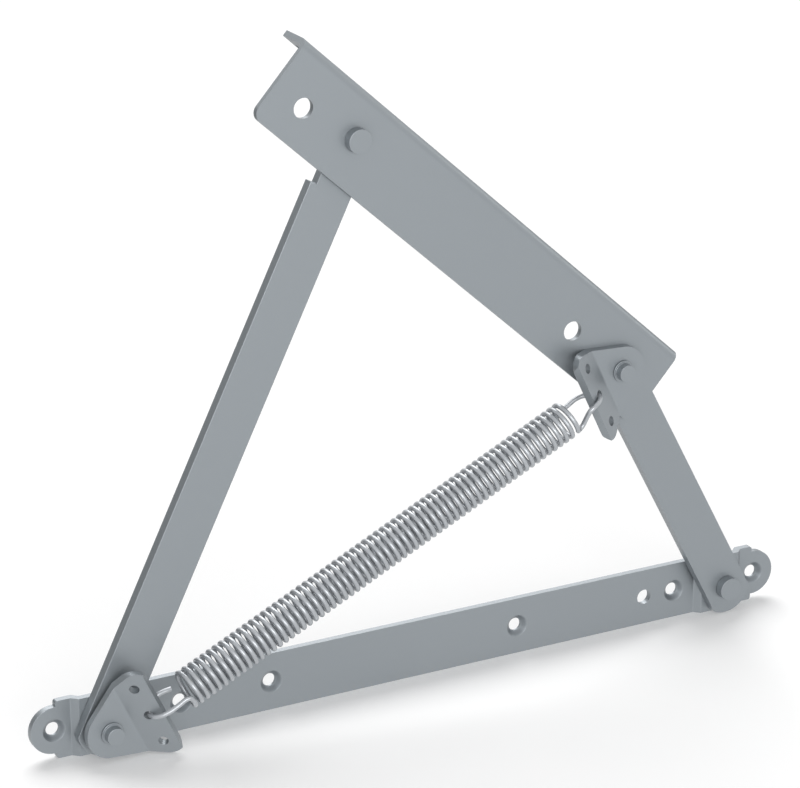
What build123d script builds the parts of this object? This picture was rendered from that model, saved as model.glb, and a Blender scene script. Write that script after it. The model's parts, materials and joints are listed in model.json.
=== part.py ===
import math
import os

from build123d import *

os.makedirs("parts", exist_ok=True)

# Lid stay: two links on a wall rail carry an angle bracket, and an extension spring
# between the pivots A (lower left) and C (right) holds it open.
# Millimetres. +X runs along the rail, +Y into the wall, +Z up.
# The origin is the middle of the rail's back face. "Out" is a distance from the wall.

# Base rail
rail_height = 30.0
rail_thickness = 3.5
rail_hole_span = 397.2
tongue_radius = 12.0
shoulder_inset = 1.0
shoulder_fillet = 1.5
joggle_rise = 3.0
joggle_half_length = 14.2
joggle_bend_radius = 1.0
rail_screw_diameter = 6.6
rail_sink_diameter = 11.6
rail_sink_angle = 90
screw_from_left = [66.2, 114.8, 253.9, 348.0]
locating_hole_from_left = 329.9
locating_hole_diameter = 8.0

# Four-bar linkage, from pivot to pivot. The elbow is the angle between the bracket and the
# short link at C where the open stay stops.
pivot_a_inset = 22.95
pivot_d_inset = 22.6
long_link_length = 303.2
bracket_link_length = 201.7
short_link_length = 151.4
elbow_angle = 161.25

# Links
link_thickness = 5.5
link_width = 23.7
link_end_radius = 14.5
notch_depth = 3.5
notch_from_pivot = 26.0

# Top bracket
bracket_thickness = 3.0
bracket_height = 43.0
bracket_depth = 23.0
bracket_bend_radius = 5.0
bracket_corner_radius = 5.0
pivot_b_from_end = 51.9
pivot_b_height = 22.1
pivot_c_from_end = 25.5
pivot_c_height = 17.8
bracket_hole_diameter = 10.0
bracket_hole_height = 17.6
bracket_hole_from_left = 19.3
bracket_hole_spacing = 197.9
flange_corner_radius = 2.0
flange_screw_diameter = 4.0
flange_screw_from_end = 9.3
flange_screw_from_edge = 4.0

# Rivets
shank_diameter = 8.0
head_diameter = 12.0
head_height = 4.8
rear_head_diameter = 14.0
rear_head_height = 2.5
collar_diameter = 11.4
collar_height = 0.8
tip_diameter = 8.9
tip_height = 4.0
spacer_diameter = 13.0

# Spring ears
ear_thickness = 3.9
ear_radius = 12.7
ear_half_width = 24.6
fold_from_pivot = 11.0
fold_angle = 36.0
fold_radius = 2.0
ear_flange_length = 16.4
ear_corner_radius = 6.0
ear_hole_from_fold = 9.3
ear_hole_spacing = 16.6

# Extension spring
spring_diameter = 19.6
wire_diameter = 2.5
coil_pitch = 3.6
coil_end_gap = 38.0
coil_groove = 1.3
coil_flat_count = 10
wire_flat_count = 6
hook_root = 1.2
hook_tip_gap = 0.6

# Clearances
play = 0.2
shank_clearance = 0.05
spring_clearance = 0.1
hook_clearance = 0.25
ear_hole_play = 2.5

# How near a selected edge or corner lies to its stated size
match_tolerance = 0.01

# Levels out from the wall
joggle_level = rail_thickness + joggle_rise
link_level = joggle_level + play
bracket_level = link_level + link_thickness + play
bracket_front = bracket_level + bracket_thickness
ear_level = bracket_front + play
ear_face = ear_level + ear_thickness
spring_level = bracket_front + spring_clearance + spring_diameter / 2
collar_level = ear_face + play + collar_height
tip_level = collar_level + tip_height
shank_hole_radius = shank_diameter / 2 + shank_clearance
ear_hole_radius = (wire_diameter + ear_hole_play) / 2



def opposite_side(side, other_side, angle):
    """The third side of a triangle, across from the angle between two of its sides."""
    return math.sqrt(side**2 + other_side**2 - 2 * side * other_side * math.cos(angle))


def corner_angle(side, other_side, opposite):
    """The angle between two sides of a triangle, across from its third side."""
    return math.acos((side**2 + other_side**2 - opposite**2) / (2 * side * other_side))


def slanted(angle):
    """The direction in the wall's plane at an angle above the rail."""
    return Vector(math.cos(angle), 0, math.sin(angle))


# Pivots in the open pose, from the triangles on both sides of the line from B to D
pivot_a = Vector(pivot_a_inset - rail_hole_span / 2, 0, 0)
pivot_d = Vector(rail_hole_span / 2 - pivot_d_inset, 0, 0)
pivot_span = pivot_d.X - pivot_a.X
diagonal = opposite_side(bracket_link_length, short_link_length, math.radians(elbow_angle))
long_direction = slanted(corner_angle(pivot_span, long_link_length, diagonal))
short_direction = slanted(
    math.pi
    - corner_angle(pivot_span, diagonal, long_link_length)
    - corner_angle(diagonal, short_link_length, bracket_link_length)
)
pivot_b = pivot_a + long_direction * long_link_length
pivot_c = pivot_d + short_direction * short_link_length

# The bracket's own directions: along it from its left end, and across it to its flange
pivot_drop = pivot_b_height - pivot_c_height
pivot_run = math.sqrt(bracket_link_length**2 - pivot_drop**2)
bracket_length = pivot_b_from_end + pivot_run + pivot_c_from_end
link_line = pivot_c - pivot_b
bracket_angle = math.atan2(link_line.Z, link_line.X) + math.atan2(pivot_drop, pivot_run)
bracket_along = slanted(bracket_angle)
bracket_across = slanted(bracket_angle + math.pi / 2)
bracket_corner = pivot_b - bracket_along * pivot_b_from_end - bracket_across * pivot_b_height

front = Vector(0, -1, 0)
spring_line = pivot_c - pivot_a
spring_direction = spring_line.normalized()


def face_plane(point, direction, out):
    """A plane facing the front, at a distance from the wall, with X along the direction."""
    return Plane(origin=point + front * out, x_dir=direction, z_dir=front)


def label_and_export(part, name):
    part.label = name
    export_step(part, f"parts/{name}.step")


# Rail: a flat bar with two joggles that make room for the rear rivet heads,
# cut to a tongue with a round end at each hole
crease_shift = rail_thickness * math.tan(math.radians(22.5))
rail_half_length = rail_hole_span / 2 + tongue_radius


def rail_line(out, shift):
    """One face of the bar seen from above, with the two joggles."""
    points = [(-rail_half_length, -out)]
    for pivot in (pivot_a, pivot_d):
        foot = joggle_half_length - shift
        points.append((pivot.X - foot, -out))
        points.append((pivot.X - foot + joggle_rise, -out - joggle_rise))
        points.append((pivot.X + foot - joggle_rise, -out - joggle_rise))
        points.append((pivot.X + foot, -out))
    points.append((rail_half_length, -out))
    return points


with BuildPart() as base_rail:
    with BuildSketch(Plane.XY.offset(-rail_height / 2)) as rail_section:
        with BuildLine():
            back_points = rail_line(0, crease_shift)
            front_points = rail_line(rail_thickness, 0)
            Polyline(*back_points, *reversed(front_points), close=True)
        make_face()
        creases = rail_section.vertices().filter_by(
            lambda v: abs(v.X) < rail_half_length - tongue_radius
        )
        fillet(creases, joggle_bend_radius)
    extrude(amount=rail_height)
    with BuildSketch(Plane.XZ) as rail_outline:
        SlotCenterToCenter(rail_hole_span, 2 * tongue_radius)
        Rectangle(rail_hole_span - 2 * shoulder_inset, rail_height)
        shoulders = rail_outline.vertices().filter_by(
            lambda v: abs(v.Y) > rail_height / 2 - match_tolerance
        )
        fillet(shoulders, shoulder_fillet)
    extrude(amount=2 * joggle_level, mode=Mode.INTERSECT)
    screw_places = [0, *screw_from_left, rail_hole_span]
    with Locations(
        *[
            face_plane(Vector(x - rail_hole_span / 2, 0, 0), Vector(1, 0, 0), rail_thickness)
            for x in screw_places
        ]
    ):
        CounterSinkHole(
            rail_screw_diameter / 2,
            rail_sink_diameter / 2,
            depth=rail_thickness,
            counter_sink_angle=rail_sink_angle,
        )
    locating_point = Vector(locating_hole_from_left - rail_hole_span / 2, 0, 0)
    with Locations(face_plane(locating_point, Vector(1, 0, 0), rail_thickness)):
        Hole(locating_hole_diameter / 2, depth=rail_thickness)
    with Locations(
        face_plane(pivot_a, Vector(1, 0, 0), joggle_level),
        face_plane(pivot_d, Vector(1, 0, 0), joggle_level),
    ):
        Hole(shank_hole_radius, depth=rail_thickness)
label_and_export(base_rail.part, "base_rail")


# Links: flat bars whose ends are arcs about their pivots, cut by the straight edges
with BuildPart() as long_link:
    with BuildSketch(face_plane(pivot_a, long_direction, link_level)):
        with Locations((long_link_length / 2, 0)):
            SlotCenterToCenter(long_link_length, 2 * link_end_radius)
            Rectangle(long_link_length + 3 * link_end_radius, link_width, mode=Mode.INTERSECT)
        with Locations((long_link_length - notch_from_pivot, link_width / 2 - notch_depth)):
            Rectangle(
                notch_from_pivot + 2 * link_end_radius,
                2 * notch_depth,
                align=(Align.MIN, Align.MIN),
                mode=Mode.SUBTRACT,
            )
        with Locations((0, 0), (long_link_length, 0)):
            Circle(shank_hole_radius, mode=Mode.SUBTRACT)
    extrude(amount=link_thickness)
label_and_export(long_link.part, "long_link")

with BuildPart() as short_link:
    with BuildSketch(face_plane(pivot_d, short_direction, link_level)):
        with Locations((short_link_length / 2, 0)):
            SlotCenterToCenter(short_link_length, 2 * link_end_radius)
            Rectangle(short_link_length + 3 * link_end_radius, link_width, mode=Mode.INTERSECT)
        with Locations((0, 0), (short_link_length, 0)):
            Circle(shank_hole_radius, mode=Mode.SUBTRACT)
    extrude(amount=link_thickness)
label_and_export(short_link.part, "short_link")


# Top bracket: an angle section whose flange folds back over the links
with BuildPart() as top_bracket:
    section_plane = Plane(
        origin=bracket_corner + front * bracket_front,
        x_dir=front * -1,
        z_dir=bracket_along,
    )
    with BuildSketch(section_plane):
        with BuildLine():
            under_flange = bracket_height - bracket_thickness
            Polyline(
                (0, 0),
                (bracket_thickness, 0),
                (bracket_thickness, under_flange),
                (bracket_depth, under_flange),
                (bracket_depth, bracket_height),
                (0, bracket_height),
                close=True,
            )
        make_face()
    extrude(amount=bracket_length)
    long_edges = top_bracket.edges().filter_by(lambda e: abs(e.length - bracket_length) < match_tolerance)
    outer_bend = long_edges.sort_by_distance(
        section_plane.from_local_coords(Vector(0, bracket_height, bracket_length / 2))
    )[0]
    fillet(outer_bend, bracket_bend_radius)
    long_edges = top_bracket.edges().filter_by(lambda e: abs(e.length - bracket_length) < match_tolerance)
    inner_bend = long_edges.sort_by_distance(
        section_plane.from_local_coords(
            Vector(bracket_thickness, under_flange, bracket_length / 2)
        )
    )[0]
    fillet(inner_bend, bracket_bend_radius - bracket_thickness)
    lower_corners = [
        top_bracket.edges().sort_by_distance(
            section_plane.from_local_coords(Vector(bracket_thickness / 2, 0, end))
        )[0]
        for end in (0, bracket_length)
    ]
    fillet(lower_corners, bracket_corner_radius)
    flange_corners = [
        top_bracket.edges().sort_by_distance(
            section_plane.from_local_coords(
                Vector(bracket_depth, bracket_height - bracket_thickness / 2, end)
            )
        )[0]
        for end in (0, bracket_length)
    ]
    fillet(flange_corners, flange_corner_radius)
    with Locations(
        *[
            face_plane(
                bracket_corner + bracket_along * along + bracket_across * across,
                bracket_along,
                bracket_front,
            )
            for along, across in (
                (bracket_hole_from_left, bracket_hole_height),
                (bracket_hole_from_left + bracket_hole_spacing, bracket_hole_height),
            )
        ]
    ):
        Hole(bracket_hole_diameter / 2, depth=bracket_thickness)
    with Locations(
        face_plane(pivot_b, bracket_along, bracket_front),
        face_plane(pivot_c, bracket_along, bracket_front),
    ):
        Hole(shank_hole_radius, depth=bracket_thickness)
    flange_screw_line = section_plane.from_local_coords(
        Vector(bracket_depth - flange_screw_from_edge, bracket_height, 0)
    )
    with Locations(
        *[
            Plane(flange_screw_line + bracket_along * along, front, bracket_across)
            for along in (flange_screw_from_end, bracket_length - flange_screw_from_end)
        ]
    ):
        Hole(flange_screw_diameter / 2, depth=bracket_thickness)
label_and_export(top_bracket.part, "top_bracket")


# Spring ears: a plate round the pivot that widens to two round corners, folded forward
# across its middle, with a row of three holes for the spring's hook
tilt = math.radians(fold_angle)
fold_shift = ear_thickness * math.tan(tilt / 2)
flange_end = fold_from_pivot + ear_flange_length * math.cos(tilt)
flange_out = ear_face + ear_flange_length * math.sin(tilt)
flange_back_shift = ear_thickness * math.sin(tilt)
flange_depth = ear_thickness * math.cos(tilt)
ear_reach = 2 * ear_radius
hole_from_pivot = fold_from_pivot + ear_hole_from_fold * math.cos(tilt)
hole_out = ear_face + ear_hole_from_fold * math.sin(tilt)


def side_plane(pivot, direction):
    """The plane through a pivot whose X is the direction and whose Y points out."""
    return Plane(origin=pivot, x_dir=direction, z_dir=direction.cross(front))


def make_ear(pivot, direction):
    """One ear about a pivot, with its flange towards the given direction."""
    with BuildPart() as ear:
        with BuildSketch(side_plane(pivot, direction)):
            with BuildLine():
                Polyline(
                    (-ear_reach, ear_level),
                    (fold_from_pivot + fold_shift, ear_level),
                    (flange_end + flange_back_shift, flange_out - flange_depth),
                    (flange_end, flange_out),
                    (fold_from_pivot, ear_face),
                    (-ear_reach, ear_face),
                    close=True,
                )
            profile = make_face()
            inner_fold = profile.vertices().sort_by_distance((fold_from_pivot, ear_face))[0]
            fillet(inner_fold, fold_radius)
            outer_fold = profile.vertices().sort_by_distance(
                (fold_from_pivot + fold_shift, ear_level)
            )[0]
            fillet(outer_fold, fold_radius + ear_thickness)
        extrude(amount=ear_half_width, both=True)
        with BuildSketch(face_plane(pivot, direction, 0)):
            with BuildLine():
                CenterArc((0, 0), ear_radius, 0, 360)
                corner_along = flange_end + flange_back_shift - ear_corner_radius
                corner_across = ear_half_width - ear_corner_radius
                CenterArc((corner_along, corner_across), ear_corner_radius, 0, 360)
                CenterArc((corner_along, -corner_across), ear_corner_radius, 0, 360)
            make_hull()
        extrude(amount=2 * flange_out, mode=Mode.INTERSECT)
        with Locations(face_plane(pivot, direction, ear_face)):
            Hole(shank_hole_radius, depth=2 * ear_thickness)
        flange_normal = front * math.cos(tilt) - direction * math.sin(tilt)
        hole_point = pivot + direction * hole_from_pivot + front * hole_out
        across = direction.cross(front)
        flange_plane = Plane(origin=hole_point, x_dir=across, z_dir=flange_normal)
        with Locations(flange_plane):
            with GridLocations(ear_hole_spacing, ear_hole_spacing, 3, 1):
                Hole(ear_hole_radius, depth=2 * ear_thickness)
    return ear.part


lower_ear = make_ear(pivot_a, spring_direction)
label_and_export(lower_ear, "lower_ear")
upper_ear = make_ear(pivot_c, spring_direction * -1)
label_and_export(upper_ear, "upper_ear")


# Extension spring: a row of turns round a hollow core, with a half-round hook at each end
# through its ear's middle hole. The hook's inside bears on the hole's front rim.
mean_radius = (spring_diameter - wire_diameter) / 2
core_radius = spring_diameter / 2 - wire_diameter
coil_length = spring_line.length - 2 * coil_end_gap
turns = round(coil_length / coil_pitch)
half_pitch = coil_length / turns / 2
hook_reach = mean_radius - wire_diameter / 2 - hook_clearance
rim_from_pivot = hole_from_pivot + ear_hole_radius * math.cos(tilt)
rim_height = hole_out + ear_hole_radius * math.sin(tilt) - spring_level
hook_centre = rim_from_pivot + math.sqrt(hook_reach**2 - rim_height**2)

with BuildPart() as extension_spring:
    coil_start = pivot_a + front * spring_level + spring_direction * coil_end_gap
    coil_plane = Plane(origin=coil_start, x_dir=front, z_dir=spring_direction)
    for station in range(2 * turns + 1):
        groove = coil_groove if station % 2 == 0 else 0
        with BuildSketch(coil_plane.offset(station * half_pitch)):
            RegularPolygon(spring_diameter / 2 - groove, coil_flat_count)
    loft(ruled=True)
    with BuildSketch(coil_plane):
        RegularPolygon(core_radius, coil_flat_count)
    extrude(amount=coil_length, mode=Mode.SUBTRACT)
    for pivot, direction in ((pivot_a, spring_direction), (pivot_c, spring_direction * -1)):
        with BuildLine(side_plane(pivot, direction)) as hook:
            outer_side = spring_level + mean_radius
            inner_side = spring_level - mean_radius
            Line((coil_end_gap + hook_root, outer_side), (hook_centre, outer_side))
            ThreePointArc(
                (hook_centre, outer_side),
                (hook_centre - mean_radius, spring_level),
                (hook_centre, inner_side),
            )
            Line((hook_centre, inner_side), (coil_end_gap - hook_tip_gap, inner_side))
        with BuildSketch(Plane(origin=hook.line @ 0, z_dir=hook.line % 0)):
            RegularPolygon(wire_diameter / 2, wire_flat_count)
        sweep(path=hook.line)
label_and_export(extension_spring.part, "extension_spring")


# Rivets: round steps about the pivot, each from one level to another. The shanks have a
# running clearance and the rear heads bear on the joint.
def make_rivet(pivot, steps):
    """A rivet of (low level, high level, diameter) steps."""
    with BuildPart() as rivet:
        with BuildSketch(side_plane(pivot, Vector(1, 0, 0))):
            with BuildLine():
                points = [(0, steps[0][0])]
                for low, high, diameter in steps:
                    points += [(diameter / 2, low), (diameter / 2, high)]
                points.append((0, steps[-1][1]))
                Polyline(*points, close=True)
            make_face()
        revolve(axis=Axis(pivot, front))
    return rivet.part


def rear_head(rear_level):
    return (rear_level - rear_head_height, rear_level, rear_head_diameter)


def front_head(seat_level):
    return (seat_level, seat_level + head_height, head_diameter)


def make_stepped_rivet(pivot, rear_level):
    """A rivet through an ear: shank, collar in front of the ear, and a round tip."""
    steps = [
        rear_head(rear_level),
        (rear_level, ear_face + play, shank_diameter),
        (ear_face + play, collar_level, collar_diameter),
        (collar_level, tip_level, tip_diameter),
    ]
    return make_rivet(pivot, steps)


rail_rear_level = joggle_level - rail_thickness
head_seat = link_level + link_thickness + play
label_and_export(make_stepped_rivet(pivot_a, rail_rear_level), "rivet_a")
label_and_export(make_stepped_rivet(pivot_c, link_level), "rivet_c")
shank_d = (rail_rear_level, head_seat, shank_diameter)
rivet_d = make_rivet(pivot_d, [rear_head(rail_rear_level), shank_d, front_head(head_seat)])
label_and_export(rivet_d, "rivet_d")

# The rivet at B is in two lengths that meet between the long link and the bracket
shank_b_front = (bracket_level, bracket_front, shank_diameter)
rivet_b_front = make_rivet(pivot_b, [shank_b_front, front_head(bracket_front)])
label_and_export(rivet_b_front, "rivet_b_front")
shank_b_rear = (link_level, link_level + link_thickness, shank_diameter)
rivet_b_rear = make_rivet(pivot_b, [rear_head(link_level), shank_b_rear])
label_and_export(rivet_b_rear, "rivet_b_rear")

# Spacer on the rivet at A, as thick as the bracket that the other ear lies on
with BuildPart() as spacer:
    with BuildSketch(Plane(origin=pivot_a + front * bracket_level, z_dir=front)):
        Circle(spacer_diameter / 2)
        Circle(shank_hole_radius, mode=Mode.SUBTRACT)
    extrude(amount=bracket_thickness)
label_and_export(spacer.part, "spacer")
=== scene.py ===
# %% [markdown]
# # A sprung lid stay in zinc plated steel
# The stay is a four-bar linkage: a rail on the wall, two flat links and an angle bracket
# that carries the lid. A long extension spring runs between two folded ears. The packed
# CAD model gives the plates, the rivets and their places, and this lesson dresses it: each
# plate gets the small rounded edges of a punched part, the spring becomes a wire helix
# with two hooks, and all of it gets a blue grey zinc finish.

# %% Load the frame
import json
import math

import bmesh
import bpy
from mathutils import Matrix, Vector


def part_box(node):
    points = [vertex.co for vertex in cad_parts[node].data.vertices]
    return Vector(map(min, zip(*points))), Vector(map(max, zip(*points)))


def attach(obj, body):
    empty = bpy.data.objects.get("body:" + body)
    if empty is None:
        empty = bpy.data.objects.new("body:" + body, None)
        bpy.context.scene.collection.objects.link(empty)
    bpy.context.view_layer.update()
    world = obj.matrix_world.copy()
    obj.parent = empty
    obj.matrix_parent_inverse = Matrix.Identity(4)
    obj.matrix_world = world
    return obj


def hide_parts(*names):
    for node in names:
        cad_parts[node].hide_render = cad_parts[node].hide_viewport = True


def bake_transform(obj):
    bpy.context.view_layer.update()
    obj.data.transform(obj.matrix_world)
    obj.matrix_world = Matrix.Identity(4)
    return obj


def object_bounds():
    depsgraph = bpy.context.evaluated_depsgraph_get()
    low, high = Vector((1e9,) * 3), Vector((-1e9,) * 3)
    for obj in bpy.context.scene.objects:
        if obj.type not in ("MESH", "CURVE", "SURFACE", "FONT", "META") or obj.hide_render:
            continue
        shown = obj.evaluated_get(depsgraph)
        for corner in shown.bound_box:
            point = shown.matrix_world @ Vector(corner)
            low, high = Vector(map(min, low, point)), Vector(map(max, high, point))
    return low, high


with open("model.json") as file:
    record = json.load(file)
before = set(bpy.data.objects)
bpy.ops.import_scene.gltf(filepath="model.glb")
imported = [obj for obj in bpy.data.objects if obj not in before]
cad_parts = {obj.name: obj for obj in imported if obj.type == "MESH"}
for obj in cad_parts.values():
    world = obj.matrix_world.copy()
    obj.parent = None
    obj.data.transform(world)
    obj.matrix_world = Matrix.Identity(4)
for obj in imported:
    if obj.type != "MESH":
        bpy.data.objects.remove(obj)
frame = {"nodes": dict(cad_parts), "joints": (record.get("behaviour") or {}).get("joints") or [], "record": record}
cad_low, cad_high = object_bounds()
print("CAD box in metres:", tuple(cad_low), tuple(cad_high))

# %% [markdown]
# ## Where the joints are
# The record holds each joint's place and axis, so the pivots are read from it and never
# measured again. The spring's own line runs from pivot A, between the rail and the long
# link, to pivot C, between the bracket and the short link.

# %% Pivots and the spring's line
MM = 0.001
FRONT = Vector((0, -1, 0))
joint = {j["name"]: j for j in frame["joints"]}
pivot_a = Vector(joint["long_link_pivot"]["pos_m"])
pivot_c = Vector(joint["bracket_pivot"]["pos_m"])
spring_along = (pivot_c - pivot_a).normalized()
spring_up = Vector((-spring_along.z, 0, spring_along.x))
pivot_distance = (pivot_c - pivot_a).length
print(f"pivot A to pivot C: {pivot_distance / MM:.1f} mm")


# %% [markdown]
# ## Camera
# The photograph was taken from the left and a little above, through a long lens. The eye
# point, the aim and the lens come from fitting straight edges of the real stay, so the
# render can be laid over the photograph.

# %% Camera
EYE = Vector((-0.75725, -1.3744, 0.7137))
AIM = Vector((-0.01215, -0.0035, 0.1371))
LENS = 154.6
SENSOR_WIDTH = 36
FARTHEST_SEEN = 20


def add_object(name, data):
    """A new object in the scene, at the origin and unturned."""
    thing = bpy.data.objects.new(name, data)
    bpy.context.scene.collection.objects.link(thing)
    return thing


def point_at_stay(thing, place):
    """Put a camera or a lamp somewhere and turn it to the middle of the stay."""
    thing.location = place
    thing.rotation_euler = (AIM - Vector(place)).to_track_quat("-Z", "Y").to_euler()


camera_data = bpy.data.cameras.new("camera")
camera_data.lens = LENS
camera_data.sensor_width = SENSOR_WIDTH
camera_data.clip_end = FARTHEST_SEEN
camera = add_object("camera", camera_data)
point_at_stay(camera, EYE)
bpy.context.scene.camera = camera
print(f"camera: {(AIM - EYE).length:.2f} m from its aim, lens {LENS} mm")


# %% [markdown]
# ## The zinc finish
# Electroplated zinc is a thin crystalline film: satin, blue grey, and faintly cloudy where
# the bath ran. Two things vary over the surface, a slow cloud of tint and a fine grain
# of roughness, so they are made once in a node group and used by every material with its
# own values. The rounded rims of the plates and rivets carry a painted highlight, a lighter
# tint read from a painted attribute called rim.

# %% Node group: zinc film
CLOUD_SCALE, CLOUD_DETAIL = 22, 3
CLOUD_DARKEST, CLOUD_LIGHTEST = 0.3, 0.7
GRAIN_SCALE, GRAIN_DETAIL = 1400, 2
GRAIN_MIDDLE = 0.5


def new_group(name, inputs, outputs):
    """A shader node group with named sockets, and its two end nodes."""
    group = bpy.data.node_groups.new(name, "ShaderNodeTree")
    for direction, sockets in (("INPUT", inputs), ("OUTPUT", outputs)):
        for label, kind in sockets:
            group.interface.new_socket(label, in_out=direction, socket_type="NodeSocket" + kind)
    return group, group.nodes.new("NodeGroupInput"), group.nodes.new("NodeGroupOutput")


def math_node(tree, operation, *values):
    """The result of a Math node whose inputs are plain numbers or other nodes' outputs."""
    node = tree.nodes.new("ShaderNodeMath")
    node.operation = operation
    for socket, value in zip(node.inputs, values):
        if isinstance(value, bpy.types.NodeSocket):
            tree.links.new(value, socket)
        else:
            socket.default_value = value
    return node.outputs[0]


def noise_node(tree, place, scale, detail):
    """The grey value of a Noise Texture at a place on the piece."""
    node = tree.nodes.new("ShaderNodeTexNoise")
    node.inputs["Scale"].default_value = scale
    node.inputs["Detail"].default_value = detail
    tree.links.new(place, node.inputs["Vector"])
    return node.outputs["Fac"]


def build_zinc_film():
    """Cloudy tint, roughness grain and a fine height from the piece's own coordinates."""
    group, given, result = new_group(
        "zinc_film",
        [
            ("Tint", "Color"),
            ("Rim Highlight Tint", "Color"),
            ("Cloud", "Float"),
            ("Roughness", "Float"),
            ("Grain", "Float"),
        ],
        [("Color", "Color"), ("Roughness", "Float"), ("Height", "Float")],
    )
    new, link = group.nodes.new, group.links.new
    place = new("ShaderNodeTexCoord").outputs["Object"]
    cloud = noise_node(group, place, CLOUD_SCALE, CLOUD_DETAIL)
    grain = noise_node(group, place, GRAIN_SCALE, GRAIN_DETAIL)

    shade = new("ShaderNodeMapRange")
    shade.inputs["From Min"].default_value = CLOUD_DARKEST
    shade.inputs["From Max"].default_value = CLOUD_LIGHTEST
    strength = given.outputs["Cloud"]
    link(cloud, shade.inputs["Value"])
    link(math_node(group, "SUBTRACT", 1, strength), shade.inputs["To Min"])
    link(math_node(group, "ADD", 1, strength), shade.inputs["To Max"])

    cloudy = new("ShaderNodeVectorMath")
    cloudy.operation = "SCALE"
    link(given.outputs["Tint"], cloudy.inputs[0])
    link(shade.outputs[0], cloudy.inputs["Scale"])

    # Painted highlight: faces marked by the rim attribute are mixed to the lighter rim tint.
    rim = new("ShaderNodeAttribute")
    rim.attribute_name = "rim"
    rim_highlight = new("ShaderNodeMix")
    rim_highlight.data_type = "RGBA"
    link(rim.outputs["Fac"], rim_highlight.inputs["Factor"])
    link(cloudy.outputs[0], rim_highlight.inputs[6])
    link(given.outputs["Rim Highlight Tint"], rim_highlight.inputs[7])
    link(rim_highlight.outputs[2], result.inputs["Color"])

    centred = math_node(group, "SUBTRACT", grain, GRAIN_MIDDLE)
    rough = math_node(
        group, "MULTIPLY_ADD", centred, given.outputs["Grain"], given.outputs["Roughness"]
    )
    link(rough, result.inputs["Roughness"])
    link(grain, result.inputs["Height"])
    return group


zinc_film = build_zinc_film()
print(f"zinc film: {len(zinc_film.nodes)} nodes")


# %% [markdown]
# ### Three metals on one film
# The plates and the rivets look alike in the photograph, so their metals differ only a
# little: the plates have the most grain. The spring's wire looks lighter and shinier, so
# it is paler and smoother, and it has no painted rim highlight. All three are about half
# metallic, because a satin film scatters light as well as mirroring it.

# %% Materials
PLATE_TINT = (0.200, 0.221, 0.239)
RIVET_TINT = (0.196, 0.217, 0.236)
# Painted highlight: a lighter tint for the plates' and rivets' rounded rims.
RIM_HIGHLIGHT_TINT = (0.27, 0.295, 0.315)
WIRE_TINT = (0.42, 0.44, 0.462)
GRAIN_DEPTH = 0.02 * MM


def make_metal(name, tint, rim_highlight_tint, metallic, roughness, cloud, grain, bump):
    """A plated metal on the shared zinc film."""
    material = bpy.data.materials.new(name)
    material.use_nodes = True
    tree = material.node_tree
    shader = tree.nodes["Principled BSDF"]
    shader.inputs["Metallic"].default_value = metallic
    film = tree.nodes.new("ShaderNodeGroup")
    film.node_tree = zinc_film
    film.inputs["Tint"].default_value = (*tint, 1)
    film.inputs["Rim Highlight Tint"].default_value = (*rim_highlight_tint, 1)
    film.inputs["Cloud"].default_value = cloud
    film.inputs["Roughness"].default_value = roughness
    film.inputs["Grain"].default_value = grain
    relief = tree.nodes.new("ShaderNodeBump")
    relief.inputs["Strength"].default_value = bump
    relief.inputs["Distance"].default_value = GRAIN_DEPTH
    tree.links.new(film.outputs["Color"], shader.inputs["Base Color"])
    tree.links.new(film.outputs["Roughness"], shader.inputs["Roughness"])
    tree.links.new(film.outputs["Height"], relief.inputs["Height"])
    tree.links.new(relief.outputs["Normal"], shader.inputs["Normal"])
    print(f"{name}: metallic {metallic}, roughness {roughness}")
    return material


plate_zinc = make_metal(
    "plate_zinc",
    PLATE_TINT,
    RIM_HIGHLIGHT_TINT,
    metallic=0.5,
    roughness=0.42,
    cloud=0.03,
    grain=0.10,
    bump=0.35,
)
rivet_zinc = make_metal(
    "rivet_zinc",
    RIVET_TINT,
    RIM_HIGHLIGHT_TINT,
    metallic=0.5,
    roughness=0.40,
    cloud=0.03,
    grain=0.08,
    bump=0.25,
)
spring_wire_zinc = make_metal(
    "spring_wire_zinc",
    WIRE_TINT,
    WIRE_TINT,
    metallic=0.55,
    roughness=0.36,
    cloud=0.04,
    grain=0.03,
    bump=0.04,
)


# %% [markdown]
# ## Plates
# A punched and plated plate seldom has a razor edge: the punch rolls one rim over and the
# plating softens the other. Rather than model the plates twice, each CAD node is copied,
# its loose triangles are merged into whole faces, and a Bevel modifier rounds the edges by
# a fraction of a millimetre, which is what catches the light. Smooth shading would then
# bend the light over the broad faces too, so a Weighted Normal modifier keeps them flat.

# %% Plates from their CAD nodes
BODY_OF = {n: b for b, members in frame["record"]["behaviour"]["bodies"].items() for n in members}
PLATE_EDGE = 0.28 * MM
EDGE_SEGMENTS = 2
MERGE_DISTANCE = 0.002 * MM
SAME_FACE_ANGLE = math.radians(0.5)
ROUNDED_FROM_ANGLE = math.radians(32)
SHARP_FROM_ANGLE = math.radians(24)
LARGE_FACE_WEIGHT = 100


def whole_faces(mesh):
    """Merge a CAD node's loose triangles into whole faces."""
    build = bmesh.new()
    build.from_mesh(mesh)
    bmesh.ops.remove_doubles(build, verts=build.verts, dist=MERGE_DISTANCE)
    bmesh.ops.dissolve_limit(
        build, angle_limit=SAME_FACE_ANGLE, verts=build.verts, edges=build.edges
    )
    build.to_mesh(mesh)
    build.free()


def plain_mesh(thing):
    """The mesh of an object with its modifiers applied."""
    return bpy.data.meshes.new_from_object(
        thing.evaluated_get(bpy.context.evaluated_depsgraph_get())
    )


def settle_modifiers(piece):
    """Turn the piece's modifiers into plain mesh."""
    finished = plain_mesh(piece)
    piece.modifiers.clear()
    piece.data = finished
    return finished


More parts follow.
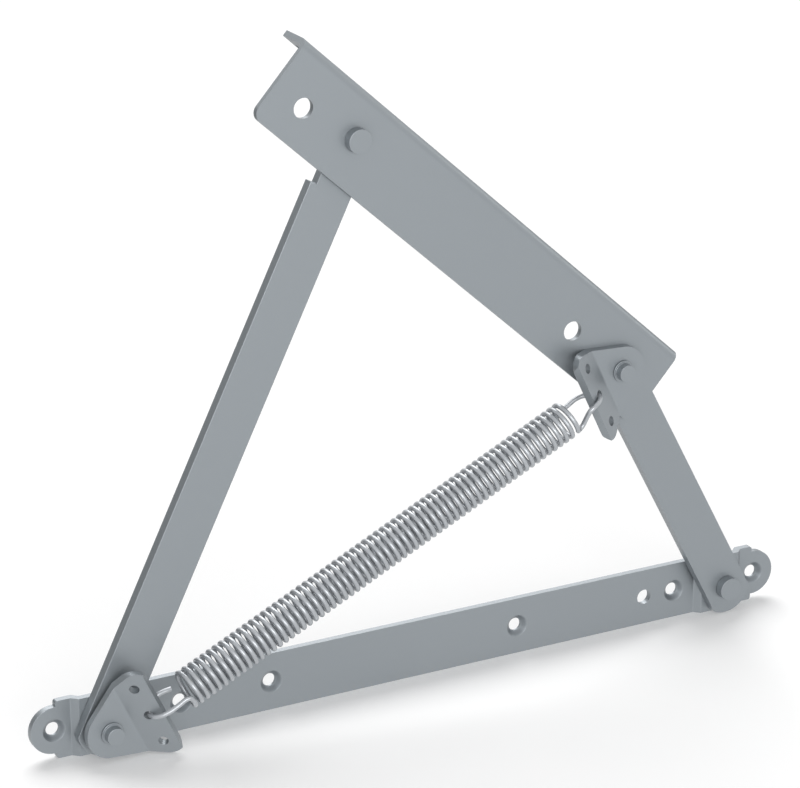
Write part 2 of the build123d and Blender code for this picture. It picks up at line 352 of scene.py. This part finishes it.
def paint_rim(mesh, limit):
    """Mark the corners of faces narrower than the limit, the rounded edges that take the painted highlight."""
    rim = mesh.attributes.new("rim", "FLOAT", "POINT")
    narrow = [0.0] * len(mesh.vertices)
    for face in mesh.polygons:
        points = [mesh.vertices[i].co for i in face.vertices]
        sides = sorted((points[i] - points[i - 1]).length for i in range(len(points)))
        if len(points) == 4 and sides[1] < limit:
            for index in face.vertices:
                narrow[index] = 1.0
    rim.data.foreach_set("value", narrow)


def rounded_plate(node, width, material):
    """A copy of a CAD node with its sharp edges rounded."""
    mesh = frame["nodes"][node].data.copy()
    mesh.name = node + "_plate"
    whole_faces(mesh)
    piece = add_object(node + "_plate", mesh)
    mesh.shade_smooth()
    mesh.materials.clear()
    mesh.materials.append(material)
    bevel = piece.modifiers.new("rounded", "BEVEL")
    bevel.width = width
    bevel.segments = EDGE_SEGMENTS
    bevel.limit_method = "ANGLE"
    bevel.angle_limit = ROUNDED_FROM_ANGLE
    settle_modifiers(piece)
    piece.data.set_sharp_from_angle(angle=SHARP_FROM_ANGLE)
    weighted = piece.modifiers.new("flat_faces", "WEIGHTED_NORMAL")
    weighted.weight = LARGE_FACE_WEIGHT
    weighted.keep_sharp = True
    finished = settle_modifiers(piece)
    paint_rim(finished, width)
    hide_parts(node)
    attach(piece, BODY_OF[node])
    print(f"{node}: {len(finished.polygons)} faces")


for plate in ("base_rail", "long_link", "short_link", "top_bracket", "lower_ear", "upper_ear"):
    rounded_plate(plate, PLATE_EDGE, plate_zinc)


# %% [markdown]
# ## Rivets and spacer
# The pivots are rivets, and a spacer sits on the one at pivot A. On such small round
# parts a plate's edge would look too soft, so the same helper is used with a narrower
# edge and the rivets' own metal.

# %% Rivets and spacer from their CAD nodes
SPACER_EDGE = 0.2 * MM
RIVET_EDGE = 0.18 * MM

rounded_plate("spacer", SPACER_EDGE, rivet_zinc)
for rivet in ("rivet_a", "rivet_b_front", "rivet_b_rear", "rivet_c", "rivet_d"):
    rounded_plate(rivet, RIVET_EDGE, rivet_zinc)


# %% [markdown]
# ## Extension spring
# The spring is one wire: a hook, about sixty five turns and another hook. Its path is
# worked out first, and Geometry Nodes then sweep a circle along it, so that the wire's
# thickness stays one named value. The turns follow a rule, so a loop makes them. The
# hooks follow none, so each is a smooth curve through points placed by the photograph.

# %% The coil's path
SPRING_DIAMETER = 19.6 * MM
WIRE = 2.5 * MM
PITCH = 3.6 * MM
COIL_END_GAP = 39.2 * MM
TURN_STEPS = 28
FIRST_ANGLE, LAST_ANGLE = math.radians(108), math.radians(126)

spring_low, spring_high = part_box("extension_spring")
spring_out = -(spring_low.y + spring_high.y) / 2
mean_radius = (SPRING_DIAMETER - WIRE) / 2


def spring_point(along, up, out):
    """A point by its distance along the spring from pivot A, and its offsets from its axis."""
    return pivot_a + spring_along * along + spring_up * up + FRONT * (spring_out + out)


coil_start = COIL_END_GAP
coil_end = pivot_distance - COIL_END_GAP
end_angle = LAST_ANGLE + 2 * math.pi * round((coil_end - coil_start) / PITCH)
steps = round((end_angle - FIRST_ANGLE) / (2 * math.pi) * TURN_STEPS)
coil_path = []
for step in range(steps + 1):
    share = step / steps
    angle = FIRST_ANGLE + share * (end_angle - FIRST_ANGLE)
    along = coil_start + share * (coil_end - coil_start)
    coil_path.append(
        spring_point(along, mean_radius * math.cos(angle), mean_radius * math.sin(angle))
    )
print(f"coil: {steps / TURN_STEPS:.2f} turns, {(coil_end - coil_start) / MM:.1f} mm long")

# %% The hooks and the whole wire
HOOK_STEPS = 6


def smooth_path(points):
    """A Catmull-Rom curve through the points."""
    padded = [points[0] * 2 - points[1], *points, points[-1] * 2 - points[-2]]
    path = []
    for i in range(1, len(padded) - 2):
        p0, p1, p2, p3 = padded[i - 1 : i + 3]
        for step in range(HOOK_STEPS):
            t = step / HOOK_STEPS
            path.append(
                0.5
                * (
                    2 * p1
                    + (p2 - p0) * t
                    + (2 * p0 - 5 * p1 + 4 * p2 - p3) * t * t
                    + (3 * p1 - p0 - 3 * p2 + p3) * t**3
                )
            )
    path.append(points[-1])
    return path


# Hooks: (distance from the near pivot, up, out) in millimetres, from the free end inwards
LOWER_HOOK = [
    (35.4, -0.4, -8.5),
    (32.5, 0.5, -8.6),
    (28.9, 1.1, -8.6),
    (25.5, 0.8, -8.2),
    (22.4, 0.3, -6.6),
    (20.2, 0.0, -4.1),
    (19.2, 0.0, -1.4),
    (19.1, 0.0, 1.2),
    (20.3, 0.0, 4.1),
    (23.0, 0.0, 6.5),
    (27.3, 0.0, 7.6),
    (32.0, 0.3, 8.0),
    (36.0, 0.9, 8.5),
    (38.3, 0.1, 8.6),
]
UPPER_HOOK = [
    (36.4, 0.4, -8.2),
    (32.6, 0.7, -8.4),
    (28.5, 1.0, -8.5),
    (25.2, 0.7, -8.1),
    (22.3, 0.2, -6.5),
    (20.2, 0.0, -4.1),
    (19.1, 0.0, -1.2),
    (19.4, -0.1, 1.2),
    (21.2, -0.2, 3.4),
    (24.4, 0.0, 5.2),
    (26.9, -0.1, 5.8),
    (28.8, -0.8, 5.4),
    (30.3, -2.3, 4.6),
    (31.9, -4.2, 3.7),
    (34.1, -6.4, 3.0),
    (36.4, -7.2, 3.2),
    (38.2, -6.6, 4.6),
]
lower_hook = [spring_point(a * MM, u * MM, o * MM) for a, u, o in LOWER_HOOK]
upper_hook = [spring_point(pivot_distance - a * MM, u * MM, o * MM) for a, u, o in UPPER_HOOK]
wire_path = (
    smooth_path([*lower_hook, coil_path[0]])[:-1]
    + coil_path
    + smooth_path([coil_path[-1], *reversed(upper_hook)])[1:]
)
print(f"wire path: {len(wire_path)} points")


# %% [markdown]
# ### Sweeping the wire
# Curve to Mesh sweeps a small circle along the path, with its ends filled where the wire
# was cut. The tree's inputs are the wire's radius, its number of sides and its material.
# The result is turned into a plain mesh.

# %% Geometry Nodes: wire
WIRE_SIDES = 12


def build_wire_tree():
    """A tree that sweeps a circle of the given radius along the object's curve."""
    tree = bpy.data.node_groups.new("swept_wire", "GeometryNodeTree")
    socket = tree.interface.new_socket
    socket("Geometry", in_out="INPUT", socket_type="NodeSocketGeometry")
    socket("Wire Radius", in_out="INPUT", socket_type="NodeSocketFloat")
    socket("Sides", in_out="INPUT", socket_type="NodeSocketInt")
    socket("Material", in_out="INPUT", socket_type="NodeSocketMaterial")
    socket("Geometry", in_out="OUTPUT", socket_type="NodeSocketGeometry")
    new, link = tree.nodes.new, tree.links.new
    given, result = new("NodeGroupInput"), new("NodeGroupOutput")
    circle, sweep = new("GeometryNodeCurvePrimitiveCircle"), new("GeometryNodeCurveToMesh")
    smooth, real = new("GeometryNodeSetShadeSmooth"), new("GeometryNodeRealizeInstances")
    paint = new("GeometryNodeSetMaterial")
    sweep.inputs["Fill Caps"].default_value = True
    link(given.outputs["Wire Radius"], circle.inputs["Radius"])
    link(given.outputs["Sides"], circle.inputs["Resolution"])
    link(given.outputs["Geometry"], sweep.inputs["Curve"])
    link(circle.outputs["Curve"], sweep.inputs["Profile Curve"])
    link(sweep.outputs["Mesh"], smooth.inputs["Geometry"])
    link(smooth.outputs["Geometry"], real.inputs["Geometry"])
    link(real.outputs["Geometry"], paint.inputs["Geometry"])
    link(given.outputs["Material"], paint.inputs["Material"])
    link(paint.outputs["Geometry"], result.inputs["Geometry"])
    return tree


def set_input(modifier, tree, label, value):
    """Set a modifier's input by the identifier of its socket."""
    for item in tree.interface.items_tree:
        if item.in_out == "INPUT" and item.name == label:
            modifier[item.identifier] = value


def swept_wire(name, path, radius, sides, material):
    """A mesh wire along a path of points."""
    curve = bpy.data.curves.new(name, "CURVE")
    curve.dimensions = "3D"
    spline = curve.splines.new("POLY")
    spline.points.add(len(path) - 1)
    for point, place in zip(spline.points, path):
        point.co = (*place, 1)
    guide = add_object(name + "_guide", curve)
    tree = build_wire_tree()
    modifier = guide.modifiers.new("wire", "NODES")
    modifier.node_group = tree
    set_input(modifier, tree, "Wire Radius", radius)
    set_input(modifier, tree, "Sides", sides)
    set_input(modifier, tree, "Material", material)
    bpy.context.view_layer.update()
    mesh = plain_mesh(guide)
    bpy.data.objects.remove(guide)
    print(f"{name}: {len(mesh.polygons)} faces")
    return add_object(name, mesh)


spring = swept_wire("spring_coil", wire_path, WIRE / 2, WIRE_SIDES, spring_wire_zinc)
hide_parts("extension_spring")
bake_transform(spring)


# %% [markdown]
# ## Floor
# The stay stands on the rail's lower edge on a pale floor. A pale floor under soft light
# is a light grey, so it glows a little to the camera alone, which makes it white and
# still keeps the stay's shadow. Reflections find it plain white, so that its shadow
# doesn't darken the metal's underside.

# %% Floor
WHITE = (1, 1, 1, 1)
FLOOR_COLOUR = (0.8, 0.8, 0.8, 1)
FLOOR_REACH = 30
MATT_ROUGHNESS = 0.9
CAMERA_GLOW = 0.18


def any_ray(tree, *kinds):
    """One for a ray of any of the kinds, which are outputs of Light Path, and else zero."""
    path = tree.nodes.new("ShaderNodeLightPath")
    total = path.outputs[kinds[0]]
    for kind in kinds[1:]:
        total = math_node(tree, "MAXIMUM", total, path.outputs[kind])
    return total


def mix_to_output(tree, share, usual, other, output):
    """Send the usual shader, and a share of the other one, to the tree's output."""
    mix = tree.nodes.new("ShaderNodeMixShader")
    tree.links.new(share, mix.inputs["Fac"])
    tree.links.new(usual.outputs[0], mix.inputs[1])
    tree.links.new(other.outputs[0], mix.inputs[2])
    tree.links.new(mix.outputs[0], tree.nodes[output].inputs["Surface"])


def make_floor():
    """A pale floor that is white to the camera and keeps the shadow."""
    mesh = bpy.data.meshes.new("floor")
    corners = [
        (-FLOOR_REACH, -FLOOR_REACH),
        (FLOOR_REACH, -FLOOR_REACH),
        (FLOOR_REACH, FLOOR_REACH),
        (-FLOOR_REACH, FLOOR_REACH),
    ]
    mesh.from_pydata([(x, y, cad_low.z) for x, y in corners], [], [(0, 1, 2, 3)])
    floor = add_object("floor", mesh)
    material = bpy.data.materials.new("pale_floor")
    material.use_nodes = True
    tree = material.node_tree
    shader = tree.nodes["Principled BSDF"]
    shader.inputs["Base Color"].default_value = FLOOR_COLOUR
    shader.inputs["Roughness"].default_value = MATT_ROUGHNESS
    shader.inputs["Specular IOR Level"].default_value = 0
    shader.inputs["Emission Color"].default_value = WHITE
    glow = math_node(tree, "MULTIPLY", any_ray(tree, "Is Camera Ray"), CAMERA_GLOW)
    tree.links.new(glow, shader.inputs["Emission Strength"])
    white = tree.nodes.new("ShaderNodeEmission")
    white.inputs["Strength"].default_value = 1
    reflected = any_ray(tree, "Is Glossy Ray", "Is Transmission Ray")
    mix_to_output(tree, reflected, shader, white, "Material Output")
    mesh.materials.append(material)
    print(f"floor at z {cad_low.z / MM:.1f} mm")


make_floor()


# %% [markdown]
# ## Background
# The world is white wherever the camera or a reflection looks. As a light it is less than
# half as strong, so that the faces that no lamp reaches stay darker than the others.

# %% World
WORLD_LIGHT = 0.45


def make_world():
    """White where the camera or a reflection looks, and a plain light level otherwise."""
    world = bpy.data.worlds.new("studio")
    bpy.context.scene.world = world
    world.use_nodes = True
    tree = world.node_tree
    background = tree.nodes["Background"]
    background.inputs["Strength"].default_value = WORLD_LIGHT
    background.inputs["Color"].default_value = WHITE
    white = tree.nodes.new("ShaderNodeBackground")
    white.inputs["Strength"].default_value = 1
    white.inputs["Color"].default_value = WHITE
    seen = any_ray(tree, "Is Camera Ray", "Is Glossy Ray", "Is Transmission Ray")
    mix_to_output(tree, seen, background, white, "World Output")
    print(f"world: light level {WORLD_LIGHT}")


make_world()


# %% [markdown]
# ## Lamps
# A broad sun above and behind lights the upward faces and lays the stay's soft shadow on
# the floor. Two large weak lamps, one in front and one in front on the left, fill the
# faces that the camera sees. Two small ones, one behind on the right and one on the far
# right, brighten the edges that face them.

# %% Lamps
def area_lamp(name, place, size, power):
    """A square lamp that points at the middle of the stay."""
    data = bpy.data.lights.new(name, "AREA")
    data.size = size
    data.energy = power
    point_at_stay(add_object(name, data), place)
    print(f"{name}: {power} W")


def soft_sun(name, place, strength, angle):
    """A broad sun, whose light is the same all over the floor."""
    data = bpy.data.lights.new(name, "SUN")
    data.energy = strength
    data.angle = math.radians(angle)
    point_at_stay(add_object(name, data), place)
    print(f"{name}: strength {strength}, {angle} degrees wide")


soft_sun("overhead", place=(0.35, 1.3, 1.9), strength=2.0, angle=45)
area_lamp("front_fill", place=(-0.2, -2.6, 0.62), size=1.2, power=24)
area_lamp("left_fill", place=(-1.3, -2.3, 0.55), size=1.0, power=14)
area_lamp("behind_right", place=(0.75, 1.35, 0.6), size=0.9, power=1.2)
area_lamp("right_rim", place=(1.9, 0.0, 0.6), size=0.5, power=1.6)


# %% [markdown]
# ## Dark cards
# Metal shows what stands round it, and a photographer's dark cards beside it turn its
# narrow side faces dark, so that they stand out from the fronts. Each card here is one
# piece that lies just over the floor and stands up along one side. Only reflections see
# the cards, so they neither show nor cast a shadow.

# %% Dark cards
CARD_COLOUR = (0.05, 0.05, 0.05, 1)
CARD_BOTTOM = cad_low.z + 2 * MM


def dark_card(name, outline, top):
    """A dark card with four corners on the floor, upright between the last and the first."""
    corners = [(x, y, CARD_BOTTOM) for x, y in outline]
    corners += [(*outline[3], top), (*outline[0], top)]
    mesh = bpy.data.meshes.new(name)
    mesh.from_pydata(corners, [], [(0, 1, 2, 3), (0, 3, 4, 5)])
    card = add_object(name, mesh)
    material = bpy.data.materials.new(name)
    material.use_nodes = True
    shader = material.node_tree.nodes["Principled BSDF"]
    shader.inputs["Base Color"].default_value = CARD_COLOUR
    shader.inputs["Roughness"].default_value = MATT_ROUGHNESS
    mesh.materials.append(material)
    card.visible_camera = False
    card.visible_diffuse = False
    card.visible_transmission = False
    card.visible_shadow = False
    print(f"{name}: {top} m high")


dark_card("card_left", [(-1.5, 1.2), (-1.5, 0.08), (-0.05, 0.08), (-0.45, 1.2)], top=0.8)
dark_card("card_right", [(1.7, 0.5), (0.42, 0.5), (0.42, 1.7), (0.95, 1.7)], top=0.35)

# %% [markdown]
# ## Colours as written
# The Standard view transform shows each colour as it is written, with no film look.

# %% View transform
bpy.context.scene.view_settings.view_transform = "Standard"
